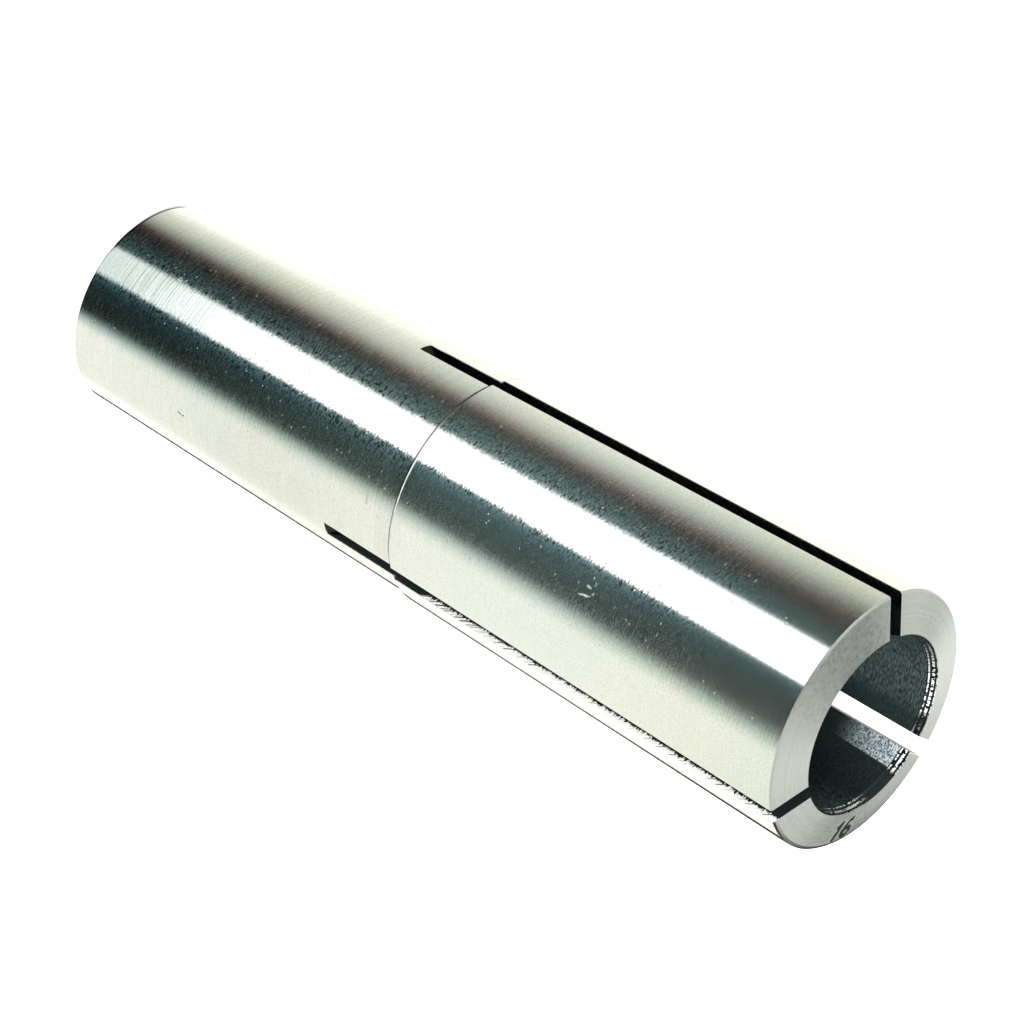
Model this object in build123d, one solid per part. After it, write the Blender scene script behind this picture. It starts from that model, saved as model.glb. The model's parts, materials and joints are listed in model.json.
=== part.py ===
from build123d import *
import os
from math import radians, sqrt, tan

# Morse taper collet with a drawbar thread, one piece of ground steel.
# Millimetres. The axis is +Z and the small, drawbar end stands on Z = 0, so the mouth is at the top.

# Taper: a number 3 Morse taper, set by its gauge line
GAUGE_DIAMETER = 23.825
GAUGE_HEIGHT = 81.0
LENGTH_PER_MM_OF_TAPER = 19.922

# Mouth: a face turned to a shallow cone, whose lip at the bore is the foremost point of the collet
NOSE_LENGTH = 5.0
FACE_RISE = 0.9
RIM_EDGE_BREAK = 0.15
LEAD_IN_WIDTH = 0.35
LEAD_IN_DEPTH = 0.85

# Rear length, turned just under the taper so that only the front length seats in the spindle
FRONT_LENGTH = 44.3
REAR_RELIEF = 0.25
SMALL_END_DIAMETER = 19.45
SMALL_END_CHAMFER = 0.4

# Gripping bore for the tool shank, entered by a steep lead-in, and the clearance bore drilled behind it
BORE_DIAMETER = 16.0
GRIP_LENGTH = 40.0
BORE_CLEARANCE = 0.3
DRILL_POINT_ANGLE = 118.0

# Drawbar hole: tapping drill for the thread, and the centre that the collet was ground on
THREAD_DIAMETER = 12.0
THREAD_PITCH = 1.75
CENTRE_DIAMETER = 13.0
CENTRE_ANGLE = 60.0

# Slots, cut from the mouth by a slitting saw held square to the bore
SLOT_COUNT = 3
FIRST_SLOT_ANGLE = 90.0
SLOT_WIDTH = 1.5
SLOT_LENGTH = 52.7
SAW_DIAMETER = 63.0
SAW_OVERCUT = 1.0
SOLID_BEHIND_SLOT = 3.4

total_length = GAUGE_HEIGHT + NOSE_LENGTH
rim_height = total_length - FACE_RISE
step_height = rim_height - FRONT_LENGTH
slot_end_height = rim_height - SLOT_LENGTH

bore_radius = BORE_DIAMETER / 2
lip_radius = bore_radius + LEAD_IN_WIDTH
clearance_radius = bore_radius + BORE_CLEARANCE
tapping_radius = (THREAD_DIAMETER - THREAD_PITCH) / 2
centre_radius = CENTRE_DIAMETER / 2

grip_top_height = total_length - LEAD_IN_DEPTH
grip_end_height = grip_top_height - GRIP_LENGTH
bore_bottom_height = slot_end_height - SOLID_BEHIND_SLOT
saw_radius = SAW_DIAMETER / 2
slot_floor_radius = bore_radius - SAW_OVERCUT


def taper_radius(height):
    """Radius of the ground Morse taper at a height above the small end."""
    return (GAUGE_DIAMETER - (GAUGE_HEIGHT - height) / LENGTH_PER_MM_OF_TAPER) / 2


def rear_radius(height):
    """Radius of the relieved rear length, which runs straight from the small end to the step."""
    step_radius = taper_radius(step_height) - REAR_RELIEF
    small_radius = SMALL_END_DIAMETER / 2
    return small_radius + (step_radius - small_radius) * height / step_height


def face_height(radius):
    """Height of the conical mouth face at a radius from the axis."""
    rim_radius = taper_radius(rim_height)
    return total_length - FACE_RISE * (radius - lip_radius) / (rim_radius - lip_radius)


def outer_points():
    """Outside of the half section, from the small end up to the lip of the bore."""
    bevel_top = step_height + REAR_RELIEF
    break_height = rim_height - RIM_EDGE_BREAK
    break_radius = taper_radius(rim_height) - RIM_EDGE_BREAK
    return [
        (rear_radius(0) - SMALL_END_CHAMFER, 0),
        (rear_radius(SMALL_END_CHAMFER), SMALL_END_CHAMFER),
        (rear_radius(step_height), step_height),
        (taper_radius(bevel_top), bevel_top),
        (taper_radius(break_height), break_height),
        (break_radius, face_height(break_radius)),
        (lip_radius, total_length),
    ]


def inner_points():
    """Inside of the half section, from the mouth down through the drawbar hole."""
    drill_point = (clearance_radius - tapping_radius) / tan(radians(DRILL_POINT_ANGLE / 2))
    centre_depth = (centre_radius - tapping_radius) / tan(radians(CENTRE_ANGLE / 2))
    return [
        (bore_radius, grip_top_height),
        (bore_radius, grip_end_height),
        (clearance_radius, grip_end_height - BORE_CLEARANCE),
        (clearance_radius, bore_bottom_height),
        (tapping_radius, bore_bottom_height - drill_point),
        (tapping_radius, centre_depth),
        (centre_radius, 0),
    ]


def turned_blank():
    """The collet before slotting: its half section turned about the axis."""
    with BuildPart() as blank:
        with BuildSketch(Plane.XZ):
            with BuildLine():
                Polyline(*outer_points(), *inner_points(), close=True)
            make_face()
        revolve(axis=Axis.Z)
    return blank.part


def saw_path():
    """Space that the saw sweeps for one slot: a disc fed down the collet, ending in its own round run-out.

    The disc is fed until its rim has cut the outside of the collet down to the end of the slot, so the
    floor of the slot rises from the bore to the outside along the curve of the saw.
    """
    wall_cut = rear_radius(slot_end_height) - slot_floor_radius
    run_out = sqrt(saw_radius**2 - (saw_radius - wall_cut) ** 2)
    last_centre = slot_end_height + run_out
    travel = total_length - last_centre
    with BuildPart() as path:
        with BuildSketch(Plane.XZ):
            with Locations((slot_floor_radius + saw_radius, last_centre + travel / 2)):
                SlotCenterToCenter(travel, SAW_DIAMETER, rotation=90)
        extrude(amount=SLOT_WIDTH / 2, both=True)
    return path.part


def slotted_collet():
    """The finished collet: the blank parted into jaws by evenly spaced saw cuts."""
    with BuildPart() as collet:
        add(turned_blank())
        with PolarLocations(0, SLOT_COUNT, start_angle=FIRST_SLOT_ANGLE):
            add(saw_path(), mode=Mode.SUBTRACT)
    return collet.part


os.makedirs("parts", exist_ok=True)
export_step(slotted_collet(), "parts/collet_body.step")
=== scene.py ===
# %% [markdown]
# # A morse taper collet in ground steel
#
# The collet is one sleeve of hardened steel. Its front length is ground to a morse taper, three saw cuts
# part that length into jaws, and a drawbar screws into its small end to pull it into the spindle. There is
# only one piece to make, so most of the work is in its finish: ground, turned, bored, sawn and tapped steel
# all mirror the room differently, and that is what tells the eye which tool cut each surface. The measured
# model comes first, because every later step is laid out from it.

# %% Load the measured frame
import bmesh
import bpy
import json
from math import asin, atan2, cos, hypot, inf, pi, radians, sin, sqrt, tan
from mathutils import Matrix, Vector


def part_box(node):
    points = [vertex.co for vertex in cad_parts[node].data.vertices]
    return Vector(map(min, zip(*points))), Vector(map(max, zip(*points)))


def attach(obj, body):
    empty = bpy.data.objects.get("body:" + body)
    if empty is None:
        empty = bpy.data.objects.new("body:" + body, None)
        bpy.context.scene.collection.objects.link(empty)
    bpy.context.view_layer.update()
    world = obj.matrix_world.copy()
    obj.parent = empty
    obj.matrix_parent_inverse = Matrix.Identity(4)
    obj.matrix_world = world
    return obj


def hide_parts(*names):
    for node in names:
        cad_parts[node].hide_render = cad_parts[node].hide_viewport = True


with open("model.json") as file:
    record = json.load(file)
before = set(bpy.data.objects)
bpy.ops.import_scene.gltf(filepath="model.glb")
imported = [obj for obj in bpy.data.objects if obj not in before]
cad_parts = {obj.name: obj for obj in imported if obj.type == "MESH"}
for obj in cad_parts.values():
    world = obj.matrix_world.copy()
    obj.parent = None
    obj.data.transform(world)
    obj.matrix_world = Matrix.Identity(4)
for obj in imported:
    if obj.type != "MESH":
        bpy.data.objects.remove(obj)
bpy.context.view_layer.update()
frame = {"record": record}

# %% [markdown]
# ## Sizes
#
# The real collet follows a standard, and the measured model says how long it is, where its taper is gauged
# and how wide its bores are. Those sizes could be typed again here, but then the dressed piece might drift
# away from the measured one, so they are read from it. The rest are the sizes on a workshop drawing. All of
# them are in millimetres: the whole mesh is built in millimetres and brought to metres once.

# %% Sizes read from the measured model
MM = 0.001
mounts = {mount["name"]: mount for mount in frame["record"]["mounts"]}
taper_seat = mounts["spindle_taper"]
tool_bore = mounts["tool_bore"]

total_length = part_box("collet_body")[1].z / MM
gauge_radius = taper_seat["dims"]["r_mm"]
gauge_height = taper_seat["pos_m"][2] / MM
front_length = taper_seat["dims"]["length_mm"]
bore_radius = tool_bore["dims"]["r_mm"]
grip_length = tool_bore["dims"]["length_mm"]
tapping_radius = mounts["drawbar_thread"]["dims"]["r_mm"]
print("length", round(total_length, 3), "gauge radius", gauge_radius, "bore radius", bore_radius)

# %% Sizes from the drawing
TAPER_PER_MM = 1 / 19.922
FACE_RISE = 0.9
RIM_BREAK = 0.15
REAR_RELIEF = 0.25
SMALL_END_RADIUS = 9.725
SMALL_END_CHAMFER = 0.4
LEAD_IN_WIDTH = 0.35
LEAD_IN_DEPTH = 0.85
BORE_CLEARANCE = 0.3

rim_height = total_length - FACE_RISE
step_height = rim_height - front_length
lip_radius = bore_radius + LEAD_IN_WIDTH
clearance_radius = bore_radius + BORE_CLEARANCE
grip_top_height = total_length - LEAD_IN_DEPTH
grip_end_height = grip_top_height - grip_length
print("rim, step and end of the grip at", [round(h, 2) for h in (rim_height, step_height, grip_end_height)])

# %% [markdown]
# ## The outline of the section
#
# Everything round on the real collet was turned or ground about one axis. It could be built as a stack of
# cones, but one radius for each height says it all and can be asked for anywhere. One function gives the
# ground taper in front, and one the relieved length behind the step. A third joins them by the narrow
# groove that the wheel's corner left and by a small bevel.

# %% Radius of the outside at a height
GROOVE_WIDTH = 0.12
GROOVE_DEPTH = 0.05
groove_foot = step_height - GROOVE_WIDTH


def taper_radius(height):
    """Radius of the ground taper."""
    return gauge_radius - (gauge_height - height) * TAPER_PER_MM / 2


def rear_radius(height):
    """Radius of the rear length, turned just under the taper."""
    step_radius = taper_radius(step_height) - REAR_RELIEF
    return SMALL_END_RADIUS + (step_radius - SMALL_END_RADIUS) * height / step_height


def outside_radius(height):
    """Radius of the outside, with the wheel's groove and the small bevel where the two lengths meet."""
    if height <= groove_foot:
        return rear_radius(height)
    if height <= step_height:
        return rear_radius(height) - GROOVE_DEPTH
    bevel = rear_radius(step_height) + (height - step_height)
    return min(taper_radius(height), bevel)


rim_radius = taper_radius(rim_height)
print("rim radius", round(rim_radius, 4), "step radius", round(rear_radius(step_height), 4))

# %% [markdown]
# ## Where the saw stopped
#
# Three slots let the front of the collet close on a shank. A slitting saw is a disc: fed down from the
# mouth, it leaves flat walls and a floor that rises from the bore to the outside in an arc of the saw's own
# radius. A boolean cut with a disc would give that arc too, but it would leave slivers. So the arc is
# worked out: how far it is from the axis at each height, and at which height it meets a round surface.

# %% The arc of the saw
SLOT_ANGLES = [radians(90), radians(210), radians(330)]
SLOT_WIDTH = 1.5
SLOT_LENGTH = 52.7
SAW_RADIUS = 31.5
SAW_OVERCUT = 1.0

half_slot = SLOT_WIDTH / 2
slot_end_height = rim_height - SLOT_LENGTH
saw_floor_radius = bore_radius - SAW_OVERCUT
wall_cut = rear_radius(slot_end_height) - saw_floor_radius
saw_centre_radius = saw_floor_radius + SAW_RADIUS
saw_centre_height = slot_end_height + sqrt(SAW_RADIUS**2 - (SAW_RADIUS - wall_cut) ** 2)


def saw_arc_reach(height):
    """Distance from the axis, in the plane of the slot, of the slot's floor at a height."""
    return saw_centre_radius - sqrt(SAW_RADIUS**2 - (saw_centre_height - height) ** 2)


print("the saw's centre stopped at height", round(saw_centre_height, 2))

# %% Where the arc meets the outside and the bore
ARC_ROUNDS = 30


def clearance_wall(height):
    """Radius of the clearance bore, which is the same at every height."""
    return clearance_radius


def saw_arc_height(radius_at, offset):
    """Height at which the slot's floor meets a round surface, at an offset from the middle of the slot.

    The radius of the surface changes with the height, so each round starts from the height of the last one.
    """
    height = slot_end_height
    for _ in range(ARC_ROUNDS):
        reach = sqrt(radius_at(height) ** 2 - offset**2)
        height = saw_centre_height - sqrt(SAW_RADIUS**2 - (saw_centre_radius - reach) ** 2)
    return height


def outer_edge(offset):
    """Height of the slot's end on the outside."""
    return saw_arc_height(rear_radius, offset)


def inner_edge(offset):
    """Height of the slot's end in the bore."""
    return saw_arc_height(clearance_wall, offset)


outer_slot_end = outer_edge(half_slot)
inner_slot_end = inner_edge(half_slot)
print("slot ends at", round(outer_slot_end, 3), "outside and", round(inner_slot_end, 3), "in the bore")

# %% [markdown]
# ## Building the skin
#
# A mesh that is to mirror like ground steel needs even, orderly faces, because every kink in them shows as
# a kink in the reflection. A cylinder with boolean cuts has long slivers beside each cut, so the skin is
# laid out by hand instead: rows of points round the axis, joined into four-sided faces, with the columns of
# points starting exactly at the slot walls. The wall of a slot stays flat, so its angle from the middle of
# the slot changes with the radius.

# %% Columns of points round the axis
JAW_STEPS = 72
SLOT_STEPS = 4
SLOT_SPACING = radians(120)
slot_offsets = [SLOT_WIDTH * (k / SLOT_STEPS - 0.5) for k in range(SLOT_STEPS + 1)]


def jaw_angles(slot, radius):
    """Angles across one jaw, from the wall of this slot to the wall of the next one."""
    edge = asin(half_slot / radius)
    span = SLOT_SPACING - 2 * edge
    return [slot + edge + span * k / JAW_STEPS for k in range(JAW_STEPS + 1)]


def ring_angles(radius):
    """Angles all the way round, with the same columns as the jaws above and a few across each slot."""
    angles = []
    for slot in SLOT_ANGLES:
        angles += [slot + asin(offset / radius) for offset in slot_offsets[:-1]]
        angles += jaw_angles(slot, radius)[:-1]
    return angles


print("points in a full ring:", len(ring_angles(bore_radius)))

# %% Joining rows into a skin
GROUND, TURNED, BORED, SAWN, SHADE_PAINTED, TAPPED, EDGE, LEAD_IN, GROOVE, STONED, ENGRAVED = range(11)
steel = bmesh.new()


def polar(radius, angle, height):
    """A point by radius, angle and height."""
    return Vector((radius * cos(angle), radius * sin(angle), height))


def steps(start, stop, count):
    """Evenly spaced values from start to stop, with both ends."""
    return [start + (stop - start) * k / count for k in range(count + 1)]


def join_rows(mesh, rows, closed=False):
    """Joins rows of corners, each as long as the next, into four-sided faces, and hands the faces back."""
    faces = []
    for lower, upper in zip(rows, rows[1:]):
        for k in range(len(lower) if closed else len(lower) - 1):
            j = (k + 1) % len(lower)
            faces.append(mesh.faces.new((lower[k], lower[j], upper[j], upper[k])))
    return faces


def add_skin(rows, finish, closed=False):
    """Adds rows of points to the collet's skin, with one finish."""
    for face in join_rows(steel, [[steel.verts.new(point) for point in row] for row in rows], closed):
        face.material_index = finish
        face.smooth = True


print("steps from 0 to 1:", steps(0, 1, 4))

# %% Sweeping a profile
RUN_OUT_ROWS = 4


def add_jaws(profile, finish):
    """Sweeps a profile of (radius, height) points across each of the three jaws."""
    for slot in SLOT_ANGLES:
        add_skin([[polar(r, a, h) for a in jaw_angles(slot, r)] for r, h in profile], finish)


def add_rings(profile, finish, angles_of=ring_angles):
    """Sweeps a profile of (radius, height) points all the way round."""
    add_skin([[polar(r, a, h) for a in angles_of(r)] for r, h in profile], finish, closed=True)


add_jaws([(outside_radius(h), h) for h in steps(outer_slot_end, inner_slot_end, RUN_OUT_ROWS)], GROUND)
print("faces beside the saw's run-out:", len(steel.faces))

# %% [markdown]
# ## The jaws
#
# A jaw is a third of the front length. Its outside, face and bore could be swept each for itself, but they
# share one list of heights here, so that the flat wall of the slot between them can be filled with level
# rows. The lead-in at the mouth was cut with a countersink, which chattered a little. It is two steep cones
# with a fine ledge between them, meant to catch light as a double ring; the bright ring is a painted
# highlight.

# %% Heights shared by the outside and the bore
GROOVE_WALL = 0.03
STONED_WIDTH = 0.09
bevel_top = step_height + REAR_RELIEF
stoned_top = bevel_top + STONED_WIDTH
break_height = rim_height - RIM_BREAK
bore_bevel_bottom = grip_end_height - BORE_CLEARANCE
jaw_heights = (
    steps(inner_slot_end, groove_foot, 3)
    + [groove_foot + GROOVE_WALL, step_height, bevel_top]
    + steps(stoned_top, bore_bevel_bottom, 3)
    + steps(grip_end_height, break_height, 34)
)
print("rows up a jaw:", len(jaw_heights))

# %% Profiles of the face, the bore and the lead-in
FACE_STEPS = 12
LEDGE_FOOT = (0.11, 0.27)
LEDGE_LIP = (0.17, 0.29)


def face_height(radius):
    """Height of the slightly conical mouth face."""
    return total_length - FACE_RISE * (radius - lip_radius) / (rim_radius - lip_radius)


def bore_wall_radius(height):
    """Radius of the gripping bore, and of the clearance bore behind it."""
    return min(max(bore_radius, bore_radius + grip_end_height - height), clearance_radius)


broken_rim_radius = rim_radius - RIM_BREAK
rim_corner = (broken_rim_radius, face_height(broken_rim_radius))
ledge = [(bore_radius + out, grip_top_height + up) for out, up in (LEDGE_LIP, LEDGE_FOOT)]
lead_in = [(lip_radius, total_length), *ledge, (bore_radius, grip_top_height)]
print("lead-in as radius, height:", [(round(r, 2), round(h, 2)) for r, h in lead_in])

# %% Outside, face and bore of the jaws
OUTSIDE_SPANS = [
    (0, groove_foot, GROUND),
    (groove_foot, step_height, GROOVE),
    (step_height, stoned_top, STONED),
    (stoned_top, total_length, GROUND),
]

for bottom, top, finish in OUTSIDE_SPANS:
    add_jaws([(outside_radius(h), h) for h in jaw_heights if bottom <= h <= top], finish)
add_jaws([(outside_radius(break_height), break_height), rim_corner], EDGE)
add_jaws([(r, face_height(r)) for r in steps(broken_rim_radius, lip_radius, FACE_STEPS)], TURNED)
add_jaws(lead_in, LEAD_IN)
add_jaws([(bore_radius, grip_top_height), (bore_radius, break_height)], BORED)
add_jaws([(bore_wall_radius(h), h) for h in reversed(jaw_heights)], BORED)
print("faces after the jaws:", len(steel.faces))

# %% [markdown]
# ## The sawn walls and floors
#
# Each wall of a slot is a flat sheet at half the saw's width from the middle of the slot. One large face
# would do for its shape, but it has to meet the rows of the outside and of the bore point by point to close
# the skin. So its rows run level from the outside to the bore, and below the bore's slot end they run from
# the outside to the arc of the saw.

# %% Rows of a slot's wall


def in_slot(slot, reach, side, height):
    """A point by its distance along the middle of a slot, its distance to one side, and its height."""
    along = Vector((cos(slot), sin(slot), 0)) * reach
    return along + Vector((-sin(slot), cos(slot), 0)) * side + Vector((0, 0, height))


def wall_rows():
    """Ends of the wall's rows, outside first, as (radius, height) pairs."""
    rows = []
    for height in steps(outer_slot_end, inner_slot_end, RUN_OUT_ROWS):
        rows.append(((rear_radius(height), height), (hypot(saw_arc_reach(height), half_slot), height)))
    for height in jaw_heights[1:]:
        rows.append(((outside_radius(height), height), (bore_wall_radius(height), height)))
    for point in reversed(lead_in):
        rows.append((rim_corner, point))
    return rows


print("rows up a wall:", len(wall_rows()))

# %% Walls of the slots
for slot in SLOT_ANGLES:
    for side, finish in ((-half_slot, SHADE_PAINTED), (half_slot, SAWN)):
        sheet = []
        for (outer_radius, outer_height), (inner_radius, inner_height) in wall_rows():
            radii = steps(outer_radius, inner_radius, FACE_STEPS)
            heights = steps(outer_height, inner_height, FACE_STEPS)
            sheet.append([in_slot(slot, sqrt(r**2 - half_slot**2), side, h) for r, h in zip(radii, heights)])
        add_skin(sheet, finish)
print("faces after the walls:", len(steel.faces))

# %% Floors of the slots


def floor_point(slot, offset, share):
    """A point of a slot's floor, at an offset from its middle and a share of the way up to the bore."""
    bottom, top = outer_edge(offset), inner_edge(offset)
    height = bottom + (top - bottom) * share
    return in_slot(slot, saw_arc_reach(height), offset, height)


for slot in SLOT_ANGLES:
    shares = steps(0, 1, RUN_OUT_ROWS)
    add_skin([[floor_point(slot, offset, share) for offset in slot_offsets] for share in shares], SHADE_PAINTED)
print("faces after the slots:", len(steel.faces))

# %% [markdown]
# ## The rear length
#
# Below the slots the collet is a full ring, and its bore runs on a little past the slots. Both could be
# plain rings, but the slots end in a curve. So the last row follows the curve across each slot and is level
# between the slots, and the rows below it are level all the way round.

# %% Full rings below the slots
SOLID_BEHIND_SLOT = 3.4
LAST_LEVEL_ROW = 1.0
REAR_ROWS = 20
BORE_ROWS = 6
bore_bottom_height = slot_end_height - SOLID_BEHIND_SLOT


def ring_row(radius_at, height, slot_edge=None):
    """A row round the axis. Across each slot it follows the edge that the saw left, if there is one."""
    row = []
    for slot in SLOT_ANGLES:
        for offset in slot_offsets[:-1]:
            level = slot_edge(offset) if slot_edge else height
            radius = radius_at(level)
            row.append(polar(radius, slot + asin(offset / radius), level))
        row += [polar(radius_at(height), a, height) for a in jaw_angles(slot, radius_at(height))[:-1]]
    return row


def add_ring_rows(radius_at, bottom, slot_end, slot_edge, count, finish):
    """Full rings from a bottom up to the end of the slots."""
    rows = [ring_row(radius_at, h) for h in steps(bottom, slot_end - LAST_LEVEL_ROW, count)]
    add_skin([*rows, ring_row(radius_at, slot_end, slot_edge)], finish, closed=True)


add_ring_rows(rear_radius, SMALL_END_CHAMFER, outer_slot_end, outer_edge, REAR_ROWS, GROUND)
add_ring_rows(clearance_wall, bore_bottom_height, inner_slot_end, inner_edge, BORE_ROWS, BORED)
print("faces with the rear length:", len(steel.faces))

# %% [markdown]
# ## The small end and the drawbar thread
#
# A real screw thread runs from the drilled bottom of the bore to the centre in the small end. It could be
# faked with a row of grooves, but from above the eye finds the helix at once. Here each row of points
# climbs by one pitch in a turn, and the radius follows the thread form: a flat crest, a flank, a narrow
# root and a flank back, with about 60 degrees between the flanks.

# %% The small end, with its centre
THREAD_RADIUS = 6.0
THREAD_GAP = 0.05
CENTRE_RADIUS = 6.5
CENTRE_ANGLE = radians(60)
clear_of_thread = THREAD_RADIUS + THREAD_GAP
centre_top = (CENTRE_RADIUS - clear_of_thread) / tan(CENTRE_ANGLE / 2)
small_end_edge = rear_radius(0) - SMALL_END_CHAMFER


def hole_angles(radius):
    """Columns of the drawbar hole: those of the clearance bore, whatever the radius."""
    return ring_angles(clearance_radius)


add_rings([(rear_radius(SMALL_END_CHAMFER), SMALL_END_CHAMFER), (small_end_edge, 0)], EDGE)
face_rows = [[polar(small_end_edge, a, 0) for a in ring_angles(small_end_edge)]]
face_rows += [[polar(r, a, 0) for a in hole_angles(r)] for r in steps(small_end_edge, CENTRE_RADIUS, 6)[1:]]
add_skin(face_rows, TURNED, closed=True)
add_rings([(CENTRE_RADIUS, 0), (clear_of_thread, centre_top)], TURNED, hole_angles)
print("the centre runs up to", round(centre_top, 3))

# %% The form of the thread
THREAD_PITCH = 1.75
CREST, ROOT = 0.25, 0.125
DRILL_POINT_ANGLE = radians(118)
drill_point = (clearance_radius - tapping_radius) / tan(DRILL_POINT_ANGLE / 2)
thread_top = bore_bottom_height - drill_point
drilled_top = thread_top + (clear_of_thread - tapping_radius) / tan(DRILL_POINT_ANGLE / 2)


def thread_radius(turns):
    """Radius of the tapped hole, from how far up the thread form a point lies, in turns."""
    share = turns % 1.0
    flank = (1 - CREST - ROOT) / 2
    if share < CREST:
        rise = 0
    elif share < CREST + flank:
        rise = (share - CREST) / flank
    elif share < CREST + flank + ROOT:
        rise = 1
    else:
        rise = (1 - share) / flank
    return tapping_radius + rise * (THREAD_RADIUS - tapping_radius)


def hole_radius(height, turns):
    """Radius of the drawbar hole: the thread, or the centre or drill point where they are wider."""
    centre = CENTRE_RADIUS - height * tan(CENTRE_ANGLE / 2)
    drilled = tapping_radius + (height - thread_top) * tan(DRILL_POINT_ANGLE / 2)
    return max(thread_radius(turns), centre, drilled)


print("thread from", round(centre_top, 2), "to", round(drilled_top, 2))

# %% Cutting the thread
THREAD_ROWS = 8


def thread_rows():
    """Rows that climb one pitch in a turn, cut off level at both ends of the hole."""
    angles = hole_angles(tapping_radius)
    angles.append(angles[0] + 2 * pi)
    turns = int((drilled_top - centre_top) / THREAD_PITCH) + 2
    rows = []
    for i in range(-THREAD_ROWS, turns * THREAD_ROWS + 1):
        row = []
        for angle in angles:
            lead = (angle - angles[0]) / (2 * pi)
            climb = centre_top + THREAD_PITCH * (i / THREAD_ROWS + lead)
            height = min(max(climb, centre_top), drilled_top)
            row.append(polar(hole_radius(height, i / THREAD_ROWS), angle, height))
        rows.append(row)
    return rows


add_skin(thread_rows(), TAPPED)
add_rings([(clear_of_thread, drilled_top), (clearance_radius, bore_bottom_height)], BORED, hole_angles)
print("faces with the thread:", len(steel.faces))

# %% [markdown]
# ## Welding the skin
#
# The real collet is one solid, so its mesh should be one closed skin. The patches could be joined edge by
# edge, but they share their border points exactly, so merging points that lie together closes the skin at
# once. A closed skin has no edge with only one face, and its faces can all be turned outwards without
# guessing.

# %% Weld and check
WELD = 0.0004


def count_open_edges():
    """How many edges of the skin don't lie between two faces."""
    return sum(len(edge.link_faces) != 2 for edge in steel.edges)


bmesh.ops.remove_doubles(steel, verts=steel.verts, dist=WELD)
bmesh.ops.dissolve_degenerate(steel, edges=steel.edges, dist=WELD)
bmesh.ops.recalc_face_normals(steel, faces=steel.faces)
print("faces", len(steel.faces), "open edges", count_open_edges())
print("volume", round(steel.calc_volume(), 1), "mm3")

# %% [markdown]
# ## Breaking the sawn edges
#
# A saw leaves a burr, and a stroke of a stone takes it off. That leaves a flat a few hundredths of a
# millimetre wide, which is far too small to see as a shape but catches a thin line of light along the whole
# slot. A Bevel modifier would break every sharp edge, so the bevel is made in the mesh, on the sawn edges
# alone.

# %% Break the edges of the slots
SLOT_BREAK = 0.06


def is_sawn_edge(edge):
    """Whether an edge lies between a sawn face and the outside or the mouth."""
    finishes = {face.material_index for face in edge.link_faces}
    return bool(finishes & {SAWN, SHADE_PAINTED}) and bool(finishes & {GROUND, TURNED, EDGE, GROOVE, STONED})


sawn_edges = [edge for edge in steel.edges if is_sawn_edge(edge)]
bmesh.ops.bevel(steel, geom=sawn_edges, offset=SLOT_BREAK, segments=2, profile=0.5, affect="EDGES",
                clamp_overlap=False, material=GROUND)
print("broken edges", len(sawn_edges), "open edges", count_open_edges())

# %% [markdown]
# ## Marks cut by hand
#
# The bore's size is scratched on the mouth with an engraving point: a groove nearly half a millimetre wide,
# with a little burr thrown up on both sides. A few knocks on the outside are cut in the same way. A bump in
# the material would look right from afar, but it can't catch the light on its rim, so the marks are real.
# The faces near a mark are divided until they are finer than the groove, set back on the round surface that
# they belong to, and pushed in by how near they lie to a stroke.

# %% Strokes and the faces beside them


def distance_to(strokes, place):
    """Distance from a place to the nearest of some strokes, each a path of straight pieces."""
    nearest = inf
    for stroke in strokes:
        for start, end in zip(stroke, stroke[1:]):
            along = Vector(end) - Vector(start)
            share = min(max((place - Vector(start)).dot(along) / along.length_squared, 0), 1)
            nearest = min(nearest, (Vector(start) + along * share - place).length)
    return nearest


def faces_beside(strokes, flatten, finish, margin):
    """Faces of one finish whose middles lie within a margin of the box round some strokes."""
    across, along = zip(*[corner for stroke in strokes for corner in stroke])
    found = []
    for face in steel.faces:
        if face.material_index == finish:
            place = flatten(face.calc_center_median())
            beside = min(across) - margin < place.x < max(across) + margin
            if beside and min(along) - margin < place.y < max(along) + margin:
                found.append(face)
    return found


print("0.3 beside a stroke is", round(distance_to([[(0, 0), (1, 0)]], Vector((0.5, 0.3))), 3), "from it")

# %% Cutting a stroke
DIVISIONS = [(0.6, 4, 1.0), (0.1, 6, 0.35)]
CUT_MARGIN = 0.3
GROOVE_SLOPE = 1.8
BURR_REACH, BURR_HEIGHT = 1.8, 0.15
CUT_BORDER = 1.05


def engrave(strokes, half_width, depth, flatten, settle, inward, finish, cut_finish):
    """Cuts strokes into one finish: divides its faces, sets them back on their round, and pushes them in."""
    for longest, cuts, margin in DIVISIONS:
        near = faces_beside(strokes, flatten, finish, margin)
        edges = dict.fromkeys(edge for face in near for edge in face.edges if edge.calc_length() > longest)
        bmesh.ops.subdivide_edges(steel, edges=list(edges), cuts=cuts, use_grid_fill=True)
    near = faces_beside(strokes, flatten, finish, CUT_MARGIN)
    for vert in {vert for face in near for vert in face.verts}:
        settle(vert.co)
        share = distance_to(strokes, flatten(vert.co)) / half_width
        if share < 1:
            vert.co += inward(vert.co) * depth * min(1, GROOVE_SLOPE * (1 - share))
        elif share < BURR_REACH:
            vert.co -= inward(vert.co) * depth * BURR_HEIGHT * sin(pi * (share - 1) / (BURR_REACH - 1))
    for face in near:
        if distance_to(strokes, flatten(face.calc_center_median())) < CUT_BORDER * half_width:
            face.material_index = cut_finish


print("divisions before a cut, as longest edge, cuts, margin:", DIVISIONS)

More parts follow.
